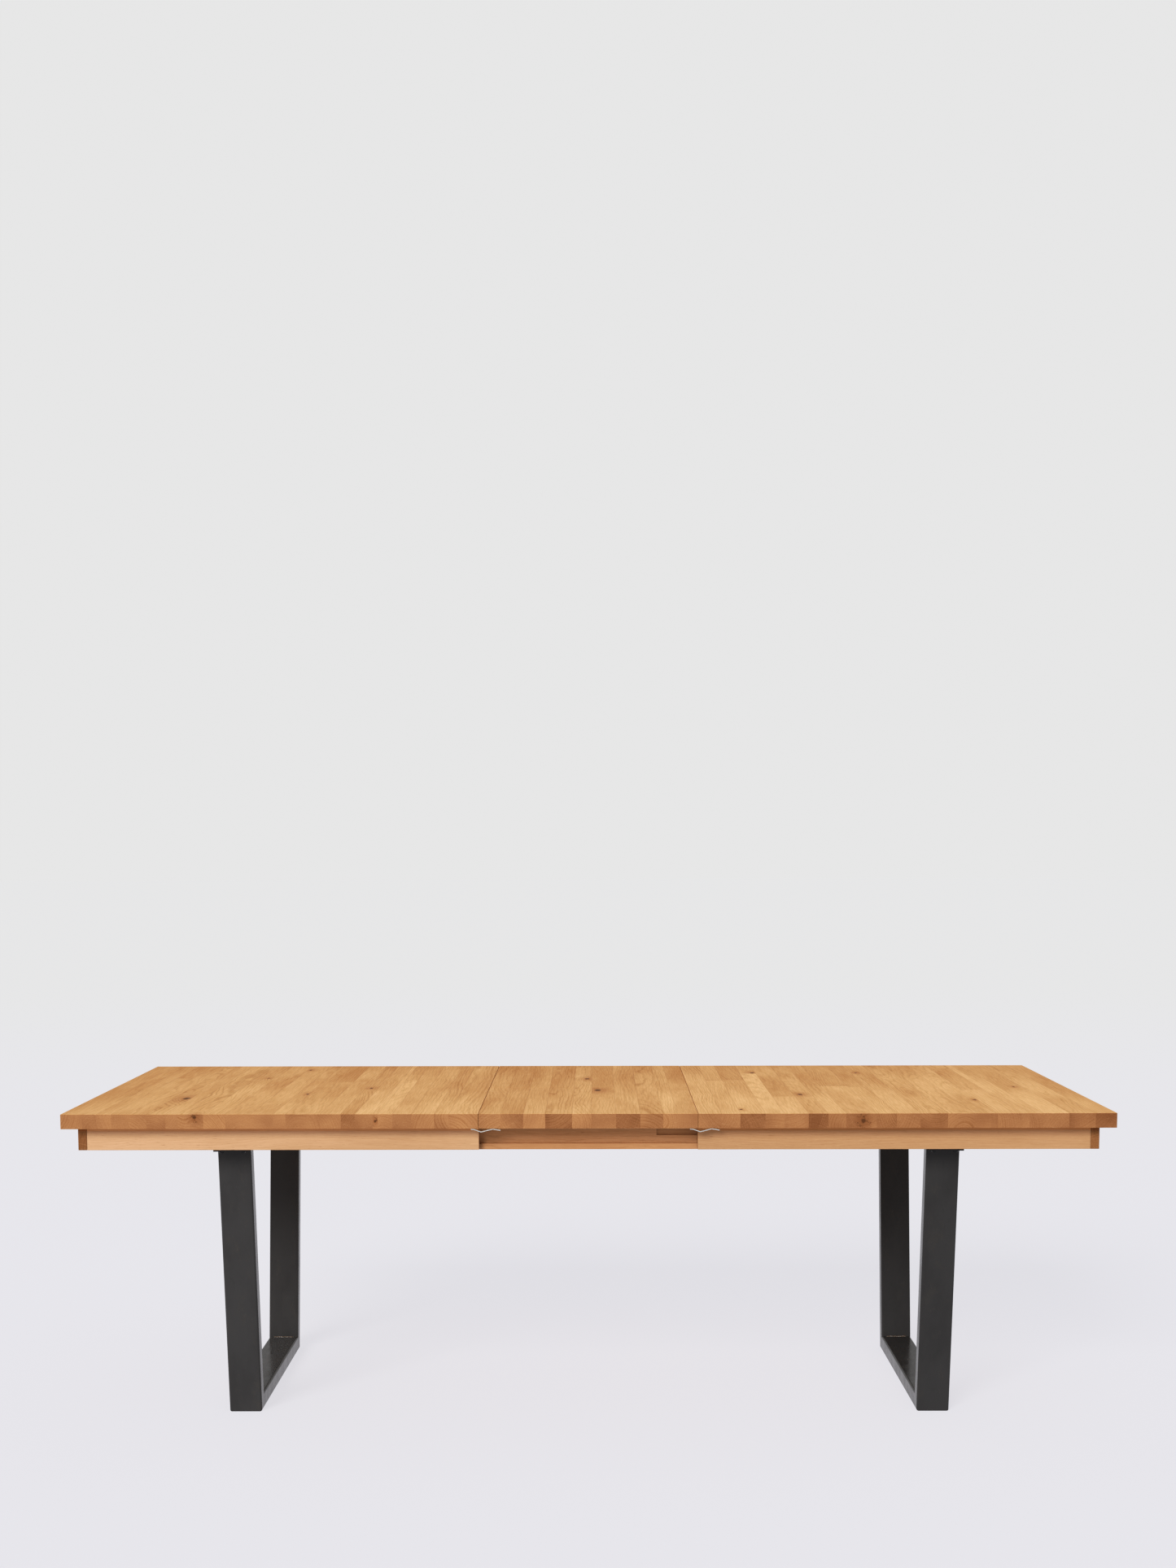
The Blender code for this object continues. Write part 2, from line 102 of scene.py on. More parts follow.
# Butt joints: stave number, distance from the middle line in millimetres, tone beyond the joint
LEFT_JOINTS = ((3, 210, -35), (9, -160, -5), (12, 120, -15), (14, 170, -25), (17, 165, -5))
RIGHT_JOINTS = ((1, 140, -10), (2, 154, -45), (3, 303, 0), (4, -190, 20), (7, 20, -5),
                (8, 0, -20), (9, -70, 0), (13, -60, 15))
PANEL_SEEDS = {"left": 11, "right": 23, "leaf": 37}
BOARD_SEED = 5
# Knots: place along, across and up, and size, in millimetres
KNOTS = (
    (-972, -213, 747, 18), (-872, 107, 747, 8), (-843, 210, 747, 6), (-760, 403, 747, 9),
    (-690, -130, 747, 10), (-548, -12, 747, 9), (-5, 187, 747, 13), (22, -60, 747, 17),
    (437, 320, 747, 11), (517, -150, 747, 13), (352, -430, 747, 8), (715, 320, 747, 8),
    (1070, 0, 747, 7), (923, -260, 747, 8), (-895, -500, 740, 9), (-484, -500, 731, 7),
    (625, -500, 730, 11),
)


# ---------------------------------------------------------------- shader building

class Shading:
    """Builds one material. Each input is a number, a colour or another node's output."""

    def __init__(self, name):
        self.material = bpy.data.materials.new(name)
        self.material.use_nodes = True
        self.nodes = self.material.node_tree.nodes
        self.links = self.material.node_tree.links
        self.shader = self.nodes["Principled BSDF"]

    def put(self, socket, value):
        if isinstance(value, bpy.types.NodeSocket):
            self.links.new(value, socket)
        else:
            socket.default_value = value

    def node(self, kind, inputs=None, **settings):
        node = self.nodes.new("ShaderNode" + kind)
        for key, value in settings.items():
            setattr(node, key, value)
        for key, value in (inputs or {}).items():
            self.put(node.inputs[key], value)
        return node

    def math(self, operation, *values):
        inputs = dict(enumerate(values))
        return self.node("Math", inputs, operation=operation).outputs[0]

    def vector(self, operation, *values):
        inputs = dict(enumerate(values))
        node = self.node("VectorMath", inputs, operation=operation)
        return node.outputs["Value" if operation == "LENGTH" else "Vector"]

    def scaled(self, vector, factor):
        inputs = {"Vector": vector, "Scale": factor}
        return self.node("VectorMath", inputs, operation="SCALE").outputs["Vector"]

    def split(self, vector):
        return self.node("SeparateXYZ", {0: vector}).outputs[:3]

    def join(self, x, y, z):
        return self.node("CombineXYZ", {0: x, 1: y, 2: z}).outputs[0]

    def noise(self, vector, waves, detail=2.0, roughness=0.5, output="Fac"):
        """Noise with its own number of waves per metre along each direction."""
        stretched = self.vector("MULTIPLY", vector, waves)
        inputs = {"Vector": stretched, "Scale": 1.0, "Detail": detail, "Roughness": roughness}
        return self.node("TexNoise", inputs).outputs[output]

    def shift_noise(self, vector, waves, reach, detail=2.0):
        """A vector that wavers by up to reach each way."""
        colour = self.noise(vector, waves, detail, output="Color")
        centred = self.vector("SUBTRACT", colour, (0.5, 0.5, 0.5))
        return self.scaled(centred, 2 * reach)

    def fit(self, value, low, high, new_low=0.0, new_high=1.0):
        """A smooth step between two values."""
        inputs = {0: value, 1: low, 2: high, 3: new_low, 4: new_high}
        return self.node("MapRange", inputs, interpolation_type="SMOOTHSTEP").outputs[0]

    def mix(self, factor, first, second, blend="MIX"):
        node = self.node("Mix", data_type="RGBA", blend_type=blend)
        self.put(node.inputs[0], factor)
        self.put(node.inputs[6], first)
        self.put(node.inputs[7], second)
        return node.outputs[2]

    def attribute(self, name, output="Vector"):
        return self.node("Attribute", attribute_name=name).outputs[output]

    def bump(self, height, distance, strength):
        inputs = {"Height": height, "Distance": distance, "Strength": strength}
        self.put(self.shader.inputs["Normal"], self.node("Bump", inputs).outputs[0])

    def finish(self, colour, roughness, metallic=0.0, specular=0.5):
        self.put(self.shader.inputs["Base Color"], colour)
        self.put(self.shader.inputs["Roughness"], roughness)
        self.shader.inputs["Metallic"].default_value = metallic
        self.shader.inputs["Specular IOR Level"].default_value = specular
        return self.material


def rgb(red, green, blue):
    return (red, green, blue, 1.0)


# ---------------------------------------------------------------- oak

GRAIN_ORDER = {"X": (1, 2, 0), "Y": (0, 2, 1), "Z": (0, 1, 2)}

# Shades are multiplied into the wood's colour, the others are laid over it
EARLY_WOOD_SHADE = rgb(0.74, 0.66, 0.52)
FIBRE_SHADE = rgb(0.70, 0.62, 0.50)
PORE_SHADE = rgb(0.42, 0.30, 0.20)
KNOT_RIM_SHADE = rgb(0.62, 0.44, 0.30)
GLUE_SHADE = rgb(0.45, 0.30, 0.18)
# Painted shade under the top's overhang, warmed for the light that the top and the apron throw on each
# other
PAINTED_OVERHANG_SHADE = rgb(1.0, 0.82, 0.62)
CRACK_BROWN = rgb(0.10, 0.040, 0.016)
KNOT_BROWN = rgb(0.110, 0.046, 0.018)
RAY_FLECK = rgb(0.86, 0.62, 0.36)

SEED_REACH = 30.0
KNOT_STRETCH = 0.42
OILED_SPECULAR = 0.08
# Height over which the painted shade under the top comes in
PAINTED_SHADE_EDGE = 0.006
# Painted light: the top's tone goes from the first value at the near edge to the second at the far
# edge, between these places along the grain, for light that falls off away from the front
PAINTED_FALLOFF_PLACES = (-0.55, 0.55)
PAINTED_FALLOFF_TONES = (0.15, -0.21)


def to_grain(s, vector, axis):
    """The vector's parts in the order across, through and along the grain."""
    parts = s.split(vector)
    return s.join(*(parts[index] for index in GRAIN_ORDER[axis]))


def crack_lines(s, place, halo):
    """Thin dark checks in the end grain round a knot."""
    wave = s.noise(place, (44.0, 44.0, 20.0), 3.0, 0.6)
    distance = s.math("ABSOLUTE", s.math("SUBTRACT", wave, 0.5))
    return s.math("MULTIPLY", s.fit(distance, 0.006, 0.020, 1.0, 0.0), halo)


def knot_fields(s, place, knot, size):
    """How far the grain bends round the stave's knot, and how dark the knot and its rim are."""
    offset = s.vector("MULTIPLY", s.vector("SUBTRACT", place, knot), (1.0, 1.0, KNOT_STRETCH))
    ragged = s.shift_noise(place, (160.0, 160.0, 70.0), 0.0022)
    distance = s.vector("LENGTH", s.vector("ADD", offset, ragged))
    share = s.math("DIVIDE", distance, s.math("MAXIMUM", size, 0.0001))
    bend = s.math("MULTIPLY", s.fit(share, 0.0, 3.4, 1.0, 0.0), size)
    core = s.fit(share, 0.28, 0.62, 1.0, 0.0)
    halo = s.fit(share, 0.4, 2.6, 1.0, 0.0)
    present = s.math("GREATER_THAN", size, 0.0005)
    return bend, s.math("MULTIPLY", core, present), s.math("MULTIPLY", halo, present)


def ring_count(s, place, moved, bend):
    """Growth rings from the heart of the tree, with a real trunk's wander, and the rays."""
    heart = s.attribute("heart")
    _, _, ring_width = s.split(heart)
    wander = s.shift_noise(moved, (2.0, 2.0, 1.5), 0.034, 1.0)
    warp = s.shift_noise(moved, (13.0, 13.0, 5.0), 0.006, 3.0)
    ripple = s.shift_noise(moved, (34.0, 34.0, 17.0), 0.0024, 2.0)
    offset = s.vector("SUBTRACT", place, heart)
    offset = s.vector("ADD", offset, s.vector("ADD", wander, s.vector("ADD", warp, ripple)))
    across, through, _ = s.split(offset)
    distance = s.vector("LENGTH", s.join(across, through, 0.0))
    distance = s.math("ADD", distance, s.math("MULTIPLY", bend, 1.4))
    good_years = s.noise(s.join(distance, 0.0, 0.0), (85.0, 1.0, 1.0), 1.0)
    rings = s.math("ADD", s.math("DIVIDE", distance, ring_width), s.math("MULTIPLY", good_years, 2.2))
    angle = s.math("ARCTAN2", through, across)
    return rings, s.noise(s.join(angle, 0.0, 0.0), (46.0, 1.0, 1.0), 2.0)


def glue_line(s, place, low, high):
    """1 on the thin joint at a stave's border, 0 elsewhere."""
    from_low = s.split(s.vector("SUBTRACT", place, low))
    from_high = s.split(s.vector("SUBTRACT", high, place))
    across = s.math("MINIMUM", from_low[0], from_high[0])
    along = s.math("MINIMUM", from_low[2], from_high[2])
    return s.fit(s.math("MINIMUM", across, along), 0.00015, 0.0007, 1.0, 0.0)


def grain_fields(s, axis):
    """A point's place in the order of the grain, and how much of each feature shows there."""
    coordinates = s.node("TexCoord").outputs
    wood = SimpleNamespace()
    wood.place = to_grain(s, coordinates["Object"], axis)
    facing = s.split(to_grain(s, coordinates["Normal"], axis))[2]
    wood.end_grain = s.fit(s.math("ABSOLUTE", facing), 0.55, 0.85)
    wood.seed = s.attribute("seed")
    wood.tones = s.split(s.attribute("tone"))
    knot = to_grain(s, s.attribute("knot"), axis)
    wood.moved = s.vector("ADD", wood.place, s.scaled(wood.seed, SEED_REACH))

    bend, wood.knot_core, wood.knot_halo = knot_fields(s, wood.place, knot, wood.tones[2])
    rings, wood.rays = ring_count(s, wood.place, wood.moved, bend)
    phase = s.math("FRACT", rings)
    early = s.math("ADD", s.fit(phase, 0.0, 0.42, 1.0, 0.0), s.fit(phase, 0.86, 1.0, 0.0, 1.0))
    patchy = s.noise(wood.moved, (18.0, 18.0, 4.0), 2.0)
    wood.early = s.math("MULTIPLY", early, s.fit(patchy, 0.3, 0.7, 0.35, 1.0))
    wood.fibres = s.noise(wood.moved, (520.0, 520.0, 14.0), 3.0, 0.6)
    pores = s.fit(s.noise(wood.moved, (1500.0, 1500.0, 75.0), 1.0), 0.60, 0.72)
    wood.pores = s.math("MULTIPLY", pores, s.fit(wood.early, 0.0, 1.0, 0.25, 1.0))
    wood.flecks = s.fit(s.noise(wood.moved, (60.0, 700.0, 40.0), 1.0), 0.62, 0.74)
    wood.clouds = s.noise(wood.moved, (9.0, 9.0, 2.2), 2.0)
    return wood


def stave_colour(s, wood, face, end, glued, contrast):
    """The colour that a stave's own tone gives it, before its grain."""
    drift = s.fit(wood.clouds, 0.25, 0.75, -0.30 * contrast, 0.30 * contrast)
    face_level = s.math("ADD", s.math("MULTIPLY_ADD", wood.tones[0], 0.5, 0.5), drift)
    # Painted light: the glued top is lighter at the near edge and darker at the far edge
    if glued:
        painted_falloff = s.fit(s.split(wood.place)[2], *PAINTED_FALLOFF_PLACES, *PAINTED_FALLOFF_TONES)
        face_level = s.math("ADD", face_level, painted_falloff)
    end_level = s.math("ADD", s.math("MULTIPLY_ADD", wood.tones[1], 0.5, 0.5), drift)
    face_colour = s.mix(face_level, rgb(*face[0]), rgb(*face[1]))
    end_colour = s.mix(end_level, rgb(*end[0]), rgb(*end[1]))
    return s.mix(wood.end_grain, face_colour, end_colour)


def grained_colour(s, wood, colour, end, contrast):
    """The colour with rings, rays, cracks, fibres, flecks, pores and the knot in it."""
    figure = s.fit(s.split(wood.seed)[0], 0.0, 1.0, 0.30, 0.78)
    figure = s.math("MULTIPLY", figure, s.math("MULTIPLY", wood.early, contrast))
    colour = s.mix(figure, colour, EARLY_WOOD_SHADE, "MULTIPLY")
    ray_light = s.math("MULTIPLY", s.fit(wood.rays, 0.54, 0.66, 0.0, 0.30), wood.end_grain)
    colour = s.mix(ray_light, colour, rgb(*end[1]))
    cracks = s.math("MULTIPLY", crack_lines(s, wood.moved, wood.knot_halo), wood.end_grain)
    colour = s.mix(s.math("MULTIPLY", cracks, 0.8), colour, CRACK_BROWN)
    fibre_depth = s.fit(wood.fibres, 0.3, 0.7, 0.0, 0.50 * contrast)
    colour = s.mix(fibre_depth, colour, FIBRE_SHADE, "MULTIPLY")
    colour = s.mix(s.math("MULTIPLY", wood.flecks, 0.10), colour, RAY_FLECK)
    colour = s.mix(s.math("MULTIPLY", wood.pores, 0.55), colour, PORE_SHADE, "MULTIPLY")
    colour = s.mix(s.math("MULTIPLY", wood.knot_halo, 0.45), colour, KNOT_RIM_SHADE, "MULTIPLY")
    return s.mix(s.math("MULTIPLY", wood.knot_core, 0.85), colour, KNOT_BROWN)


def jointed_colour(s, wood, colour, axis):
    """The colour with the thin dark glue lines at the stave's borders."""
    low = to_grain(s, s.attribute("low"), axis)
    high = to_grain(s, s.attribute("high"), axis)
    joint = s.math("MULTIPLY", glue_line(s, wood.place, low, high), 0.40)
    return s.mix(joint, colour, GLUE_SHADE, "MULTIPLY")


def oak(name, axis, face, end, glued=False, contrast=1.0, painted_shade_height=None):
    """Oiled oak with the grain along one axis. face and end are each a dark and a light colour.
    In the strip close under the top, above the height given, the colour is darkened and made warmer:
    painted shade of the top's overhang, with painted warm light that the two faces throw on each other."""
    s = Shading(name)
    wood = grain_fields(s, axis)
    colour = stave_colour(s, wood, face, end, glued, contrast)
    colour = grained_colour(s, wood, colour, end, contrast)
    if glued:
        colour = jointed_colour(s, wood, colour, axis)
    # Painted shade: the strip just under the top is darkened and warmed
    if painted_shade_height:
        height = s.split(s.node("TexCoord").outputs["Object"])[2]
        under = s.fit(height, painted_shade_height, painted_shade_height + PAINTED_SHADE_EDGE)
        colour = s.mix(under, colour, PAINTED_OVERHANG_SHADE, "MULTIPLY")

    roughness = s.fit(wood.fibres, 0.25, 0.75, 0.55, 0.72)
    roughness = s.math("ADD", roughness, s.math("MULTIPLY", wood.pores, 0.18))
    relief = s.math("MULTIPLY", wood.fibres, 0.35)
    relief = s.math("SUBTRACT", relief, s.math("MULTIPLY", wood.pores, 0.5))
    relief = s.math("SUBTRACT", relief, s.math("MULTIPLY", wood.early, 0.25))
    s.bump(relief, 0.00035, 0.45)
    return s.finish(colour, roughness, specular=OILED_SPECULAR)


# ---------------------------------------------------------------- metal

# Waves per metre of the rolling scratches, for steel rolled along each axis
ROLLED_ALONG = {"Y": (620.0, 5.0, 620.0), "Z": (620.0, 620.0, 5.0)}
STEEL_DARK = rgb(0.0195, 0.0185, 0.0195)
STEEL_LIGHT = rgb(0.033, 0.032, 0.033)
STEEL_BROWN = rgb(0.042, 0.037, 0.032)
STEEL_GREEN = rgb(0.0165, 0.0190, 0.0172)
SCRATCH_GREY = rgb(0.060, 0.060, 0.060)
CORNER_GREY = rgb(0.066, 0.063, 0.060)
WAXED_SPECULAR = 0.15
# Bright metals: dark and light colour, lowest and highest roughness
SPRING_STEEL = ((0.50, 0.49, 0.46), (0.80, 0.79, 0.76), 0.22, 0.40)
WELD_STEEL = ((0.16, 0.155, 0.15), (0.80, 0.79, 0.77), 0.20, 0.40)
BLACK_ZINC = ((0.012, 0.012, 0.013), (0.045, 0.045, 0.048), 0.20, 0.38)
BRIGHT_ZINC = ((0.36, 0.36, 0.35), (0.62, 0.62, 0.60), 0.30, 0.50)


def blackened_steel(name, shade, axis):
    """Waxed black steel, rolled along an axis, with faint brown and green clouds, and the whole colour
    darkened by a painted shade.
    """
    s = Shading(name)
    place = s.node("TexCoord").outputs["Object"]
    clouds = s.noise(place, (9.0, 9.0, 4.0), 4.0, 0.6)
    patches = s.noise(place, (34.0, 34.0, 17.0), 5.0, 0.65)
    scratches = s.noise(place, ROLLED_ALONG[axis], 2.0, 0.7)
    colour = s.mix(s.fit(clouds, 0.35, 0.65), STEEL_DARK, STEEL_LIGHT)
    colour = s.mix(s.fit(patches, 0.52, 0.70, 0.0, 0.55), colour, STEEL_BROWN)
    colour = s.mix(s.fit(patches, 0.30, 0.42, 0.50, 0.0), colour, STEEL_GREEN)
    colour = s.mix(s.fit(scratches, 0.60, 0.78, 0.0, 0.25), colour, SCRATCH_GREY)
    corner = s.node("NewGeometry").outputs["Pointiness"]
    colour = s.mix(s.fit(corner, 0.53, 0.60, 0.0, 0.4), colour, CORNER_GREY)
    # Painted shade: the colour is multiplied by the frame's share, so the right frame stands darker for
    # the fall of light to the right
    colour = s.mix(1.0, colour, rgb(shade, shade, shade), "MULTIPLY")
    roughness = s.fit(patches, 0.3, 0.7, 0.15, 0.25)
    roughness = s.math("ADD", roughness, s.fit(scratches, 0.5, 0.8, 0.0, 0.08))
    height = s.math("ADD", s.math("MULTIPLY", patches, 0.5), s.math("MULTIPLY", scratches, 0.12))
    s.bump(height, 0.0004, 0.10)
    return s.finish(colour, roughness, specular=WAXED_SPECULAR)


def bright_steel(name, dark, light, roughness_low, roughness_high):
    """Bare or plated steel with fine brushing and a few dull spots."""
    s = Shading(name)
    place = s.node("TexCoord").outputs["Object"]
    brushing = s.noise(place, (300.0, 3200.0, 3200.0), 2.0, 0.6)
    spots = s.noise(place, (420.0, 420.0, 420.0), 3.0)
    colour = s.mix(s.fit(brushing, 0.3, 0.7), rgb(*dark), rgb(*light))
    colour = s.mix(s.fit(spots, 0.58, 0.75, 0.0, 0.5), colour, rgb(*dark))
    roughness = s.fit(spots, 0.3, 0.7, roughness_low, roughness_high)
    s.bump(brushing, 0.00005, 0.3)
    return s.finish(colour, roughness, metallic=1.0)


# ---------------------------------------------------------------- mesh building

TOP_BEVEL = 0.0011
BOARD_BEVEL = 0.0009
HIDDEN_BOARD_BEVEL = 0.0015
PLATE_BEVEL = 0.0004
CUT_REACH = 0.00001
# How far past a butt joint a stave's faces reach before they need the cut
JOINT_MARGIN = 0.01
# Nearest and farthest that the heart of the tree lies from a stave's or a board's middle
STAVE_HEART = (0.02, 0.11)
BOARD_HEART = (0.05, 0.16)
RING_WIDTHS = (0.0032, 0.0075)


def new_piece(name, bm, material, smooth_angle=None):
    mesh = bpy.data.meshes.new(name)
    bm.to_mesh(mesh)
    bm.free()
    mesh.materials.append(material)
    piece = bpy.data.objects.new(name, mesh)
    bpy.context.scene.collection.objects.link(piece)
    if smooth_angle is not None:
        mesh.shade_smooth()
        mesh.set_sharp_from_angle(angle=math.radians(smooth_angle))
        weighted = piece.modifiers.new("flat_faces", "WEIGHTED_NORMAL")
        weighted.keep_sharp = True
        weighted.weight = 100
    return piece


def place_piece(piece, body, slot, *nodes):
    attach(piece, body)
    if nodes:
        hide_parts(*nodes)
    return piece


def bevelled_box(low, high, bevel, segments=3):
    low = Vector(low)
    high = Vector(high)
    bm = bmesh.new()
    bmesh.ops.create_cube(bm, size=1.0)
    bmesh.ops.scale(bm, vec=high - low, verts=bm.verts)
    bmesh.ops.translate(bm, vec=(low + high) / 2, verts=bm.verts)
    bmesh.ops.bevel(bm, geom=list(bm.edges), offset=bevel, segments=segments, profile=0.5,
                    affect="EDGES", clamp_overlap=True)
    return bm


def cut_plane(bm, geometry, point, normal):
    bmesh.ops.bisect_plane(bm, geom=geometry, plane_co=point, plane_no=normal, dist=CUT_REACH)


class Stave:
    """One strip of oak in a panel, or a whole board."""

    def __init__(self, low, high, axis, rng, tone=0.0, end_tone=0.0, heart=STAVE_HEART):
        self.low = Vector(low)
        self.high = Vector(high)
        self.seed = Vector((rng.random(), rng.random(), rng.random()))
        self.tone = tone
        self.end_tone = end_tone
        centre = (self.low + self.high) / 2
        across, through, _ = (centre[index] for index in GRAIN_ORDER[axis])
        angle = rng.uniform(0, 2 * math.pi)
        reach = rng.uniform(*heart)
        self.heart = (across + reach * math.cos(angle), through + reach * math.sin(angle),
                      rng.uniform(*RING_WIDTHS))
        self.knot = Vector((0, 0, 0))
        self.knot_size = 0.0

    def holds(self, point):
        return all(self.low[axis] <= point[axis] <= self.high[axis] for axis in (0, 1))

    def take_knot(self):
        for x, y, z, size in KNOTS:
            place = Vector((x, y, z)) * MM
            if self.holds(place):
                self.knot = place
                self.knot_size = size * MM

    def facts(self):
        return {
            "low": self.low, "high": self.high, "seed": self.seed, "heart": self.heart,
            "knot": self.knot, "tone": (self.tone, self.end_tone, self.knot_size),
        }


def write_facts(piece, staves):
    """Each face carries the facts of the stave it lies on."""
    mesh = piece.data
    chosen = []
    for polygon in mesh.polygons:
        centre = polygon.center
        nearest = min(staves, key=lambda stave: max(
            max(stave.low[axis] - centre[axis], centre[axis] - stave.high[axis]) for axis in (0, 1)))
        chosen.append(nearest.facts())
    for fact in staves[0].facts():
        attribute = mesh.attributes.new(fact, "FLOAT_VECTOR", "FACE")
        for index, facts in enumerate(chosen):
            attribute.data[index].vector = facts[fact]


def read_staves(low, high, widths, joints, rng):
    """The staves of a panel between two corners, split where they have butt joints."""
    cuts = {number: (place * MM, tone) for number, place, tone in joints}
    staves = []
    x = low.x
    for number, (width, tone, end_tone) in enumerate(widths):
        x_end = x + width * MM
        spans = [(low.y, high.y, tone)]
        if number in cuts:
            place, far_tone = cuts[number]
            spans = [(low.y, place, tone), (place, high.y, far_tone)]
        for y_low, y_high, span_tone in spans:
            stave = Stave((x, y_low, low.z), (x_end, y_high, high.z), "Y", rng, span_tone / 100,
                          end_tone / 100)
            stave.take_knot()
            staves.append(stave)
        x = x_end
    return staves


def split_faces(bm, staves):
    """Cut the panel's mesh along the stave borders, and each joint in its own stave only."""
    borders = sorted({stave.low.x for stave in staves})[1:]
    for x in borders:
        geometry = list(bm.verts) + list(bm.edges) + list(bm.faces)
        cut_plane(bm, geometry, (x, 0, 0), (1, 0, 0))
    for stave in staves:
        faces = [f for f in bm.faces
                 if stave.low.x < f.calc_center_median().x < stave.high.x]
        places = [f.calc_center_median().y for f in faces]
        if min(places) < stave.low.y - JOINT_MARGIN and max(places) > stave.low.y + JOINT_MARGIN:
            geometry = faces + list({e for f in faces for e in f.edges})
            geometry += list({v for f in faces for v in f.verts})
            cut_plane(bm, geometry, (0, stave.low.y, 0), (0, 1, 0))


def make_panel(name, node, body, staves, material):
    """A half top or a leaf panel of glued staves."""
    low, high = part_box(node)
    bm = bevelled_box(low, high, TOP_BEVEL)
    split_faces(bm, staves)
    piece = new_piece(name, bm, material)
    write_facts(piece, staves)
    return place_piece(piece, body, "oak_top", node)


def make_board(name, node, body, axis, material, slot, rng, tone=0.0, end_tone=0.0,
               bevel=BOARD_BEVEL):
    """One solid board with its grain along an axis."""
    low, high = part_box(node)
    piece = new_piece(name, bevelled_box(low, high, bevel), material)
    write_facts(piece, [Stave(low, high, axis, rng, tone, end_tone, BOARD_HEART)])
    return place_piece(piece, body, slot, node)


def apply_modifiers(piece):
    evaluated = piece.evaluated_get(bpy.context.evaluated_depsgraph_get())
    mesh = bpy.data.meshes.new_from_object(evaluated)
    piece.modifiers.clear()
    piece.data = mesh


def cut_away(piece, cutter):
    boolean = piece.modifiers.new("cut", "BOOLEAN")
    boolean.object = cutter
    apply_modifiers(piece)
    bpy.data.objects.remove(cutter, do_unlink=True)


def loft(loops, closed_ends=True):
    """A closed skin over loops of points that all have the same number of points."""
    bm = bmesh.new()
    rings = [[bm.verts.new(point) for point in loop] for loop in loops]
    count = len(rings[0])
    for first, second in zip(rings, rings[1:]):
        for index in range(count):
            after = (index + 1) % count
            bm.faces.new((first[index], first[after], second[after], second[index]))
    if closed_ends:
        bm.faces.new(list(reversed(rings[0])))
        bm.faces.new(rings[-1])
    bmesh.ops.recalc_face_normals(bm, faces=bm.faces)
    return bm


# ---------------------------------------------------------------- steel frames

TUBE_WALL = 0.003
TUBE_RADIUS = 0.005
CORNER_STEPS = 7
WELD_RADIUS = 0.0028
WELD_STEP = 0.0009
WELD_CORNERS = 10
# How deep a bead sits in its corner, and how thick the head's beads are, as shares of the radius
WELD_SINK = 0.45
HEAD_WELD = 0.7
ALONG_TABLE = Vector((1, 0, 0))
ACROSS_TABLE = Vector((0, 1, 0))
UPWARDS = Vector((0, 0, 1))


class LegShape:
    """The measures of one leg frame, which its tubes and welds share."""

    def __init__(self, side_name):
        foot_low, foot_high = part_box(f"foot_bar_{side_name}")
        head_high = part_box(f"upright_{side_name}_rear")[1]
        self.middle_x = (foot_low.x + foot_high.x) / 2
        self.width = foot_high.x - foot_low.x
        self.depth = foot_high.z - foot_low.z
        self.foot_half = foot_high.y
        self.head_half = head_high.y
        self.head_height = head_high.z
        self.lean = math.atan2(self.head_half - self.foot_half, self.head_height)
        corner = (math.pi / 2 + self.lean) / 2
        self.mitre_in = self.foot_half - self.depth / math.tan(corner)

    def mitre(self, y_side):
        """A point and the normal of the plane where the foot bar meets an upright."""
        outer = Vector((self.middle_x, y_side * self.foot_half, 0))
        inner = Vector((self.middle_x, y_side * self.mitre_in, self.depth))
        return outer, (inner - outer).cross(ALONG_TABLE).normalized()


def rounded_outline(width, depth, radius):
    """Rectangle outline with round corners: across runs about 0, and in from 0 to depth."""
    points = []
    for quarter, (side, deep) in enumerate(((1, 1), (-1, 1), (-1, 0), (1, 0))):
        centre = (side * (width / 2 - radius), deep * depth + (radius if deep == 0 else -radius))
        for step in range(CORNER_STEPS + 1):
            angle = math.radians(90 * (quarter + step / CORNER_STEPS))
            points.append((centre[0] + radius * math.cos(angle),
                           centre[1] + radius * math.sin(angle)))
    return points


def meet_plane(origin, direction, plane_point, plane_normal):
    distance = (plane_point - origin).dot(plane_normal) / direction.dot(plane_normal)
    return origin + direction * distance


def tube_between(name, shape, start, direction, inward, planes, material):
    """A rectangular tube whose outer face starts at a point, cut by a plane at each end."""
    loops = []
    hollow = rounded_outline(shape.width - 2 * TUBE_WALL, shape.depth - 2 * TUBE_WALL,
                             TUBE_RADIUS - TUBE_WALL)
    outlines = (rounded_outline(shape.width, shape.depth, TUBE_RADIUS),
                [(across, deep + TUBE_WALL) for across, deep in hollow])
    for outline in outlines:
        origins = [start + ALONG_TABLE * across + inward * deep for across, deep in outline]
        loops.append([[meet_plane(origin, direction, *plane) for origin in origins]
                      for plane in planes])
    outer, inner = loops
    bm = loft([outer[0], outer[1], inner[1], inner[0], outer[0]], closed_ends=False)
    bmesh.ops.remove_doubles(bm, verts=bm.verts, dist=CUT_REACH)
    bmesh.ops.recalc_face_normals(bm, faces=bm.faces)
    return new_piece(name, bm, material, smooth_angle=40)


def weld_bead(name, start, end, radius, material, rng):
    """A run of weld: overlapping scallops along a line, slightly uneven."""
    start = Vector(start)
    end = Vector(end)
    along = (end - start).normalized()
    side = along.orthogonal().normalized()
    up = along.cross(side)
    count = int((end - start).length / WELD_STEP)
    weld_angles = [2 * math.pi * corner / WELD_CORNERS for corner in range(WELD_CORNERS)]
    loops = []
    for step in range(count + 1):
        share = step / count
        taper = min(1.0, 5 * share + 0.25, 5 * (1 - share) + 0.25)
        scallop = 0.82 + 0.18 * abs(math.sin(math.pi * share * count / 4))
        size = radius * taper * scallop * rng.uniform(0.95, 1.05)
        centre = start.lerp(end, share)
        loops.append([centre + (side * math.cos(angle) + up * math.sin(angle)) * size
                      for angle in weld_angles])
    return new_piece(name, loft(loops), material, smooth_angle=70)


